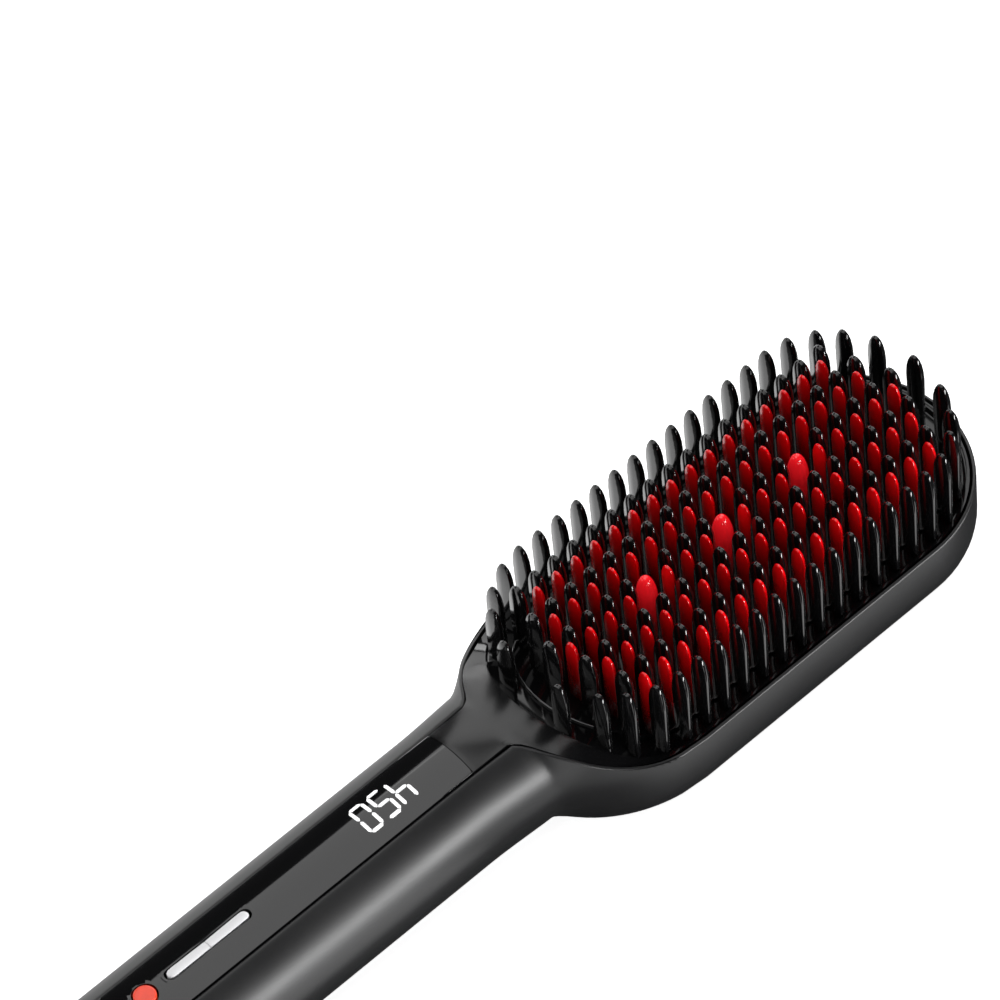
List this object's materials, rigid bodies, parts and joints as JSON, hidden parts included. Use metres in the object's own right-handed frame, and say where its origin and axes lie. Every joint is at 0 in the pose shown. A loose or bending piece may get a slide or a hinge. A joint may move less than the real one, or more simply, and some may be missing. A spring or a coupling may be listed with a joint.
{
  "type": "hair straightening brush",
  "caption": "Flat heated brush for straightening hair: guarded teeth on a slot-shaped head, round handle with display, rocker key and power button, and a swivel cord.",
  "frame": {"origin": "on the flat back face of the head, at the middle of the oval ring", "axes": "+X from the handle to the tip of the head, +Z out of the teeth, +Y across the head"},
  "size_m": [0.4823, 0.0944, 0.045],
  "materials": {
    "soft_black": "soft-touch matte moulding",
    "ring_red": "satin coloured moulding",
    "gloss_black": "polished moulding",
    "heat_red": "red ceramic coat on metal",
    "outlet_red": "clear red moulding",
    "plate_alloy": "cast and trimmed",
    "heater_ceramic": "fired, unglazed",
    "spring_steel": "bright, as rolled",
    "mica_board": "pressed mica sheet",
    "sensor_body": "coated bead",
    "key_white": "satin white moulding",
    "key_orange": "clear orange moulding",
    "board_green": "solder mask on laminate",
    "display_dark": "smoked window over light bars",
    "switch_black": "moulded",
    "lamp_clear": "clear moulding",
    "module_grey": "potted block",
    "lead_white": "silicone sleeve",
    "lead_black": "wire sleeve",
    "swivel_black": "fine satin moulding",
    "contact_brass": "polished",
    "relief_rubber": "matte rubber",
    "cord_rubber": "matte sleeve",
    "tie_black": "woven strap",
    "plug_black": "moulded-on plug"
  },
  "bodies": {
    "brush": {"back_housing": "soft_black", "ring_trim": "ring_red", "front_frame": "gloss_black", "guard_plate": "gloss_black", "guard_teeth": "gloss_black", "rim_teeth": "gloss_black", "heating_plate": "plate_alloy", "heating_teeth": "heat_red", "ion_outlets": "outlet_red", "heater_strips": "heater_ceramic", "heater_clamp": "spring_steel", "insulation_sheet": "mica_board", "thermal_fuse": "spring_steel", "thermistor": "sensor_body", "case_screws": "spring_steel", "control_panel": "gloss_black", "rocker_pin": "spring_steel", "main_board": "board_green", "display_module": "display_dark", "tact_switches": "switch_black", "power_lamp": "lamp_clear", "board_screws": "spring_steel", "ion_generator": "module_grey", "heater_leads": "lead_white", "mains_leads": "lead_black", "end_cap": "soft_black", "contact_block": "switch_black", "cord_lead": "cord_rubber", "cord_tail": "cord_rubber", "cord_coil": "cord_rubber", "cord_tie": "tie_black", "plug_body": "plug_black", "plug_blades": "contact_brass"},
    "swivel": {"swivel_collar": "swivel_black", "swivel_clip": "spring_steel", "slip_rings": "contact_brass", "strain_relief": "relief_rubber"},
    "rocker": {"temperature_rocker": "key_white"},
    "power_key": {"power_button": "key_orange"}
  },
  "joints": [
    {"name": "cord_swivel", "type": "hinge", "parent": "brush", "child": "swivel", "pos_m": [-0.209, 0, 0.018], "axis": [1, 0, 0], "continuous": true},
    {"name": "rocker_tilt", "type": "hinge", "parent": "brush", "child": "rocker", "pos_m": [-0.1665, 0, 0.0316], "axis": [0, 1, 0], "range_deg": [-2.5, 2.5], "stiffness_Nm_per_rad": 0.45},
    {"name": "power_press", "type": "slide", "parent": "brush", "child": "power_key", "axis": [0, 0, -1], "range_m": [0, 0.0007], "stiffness_N_per_m": 2000}
  ]
}
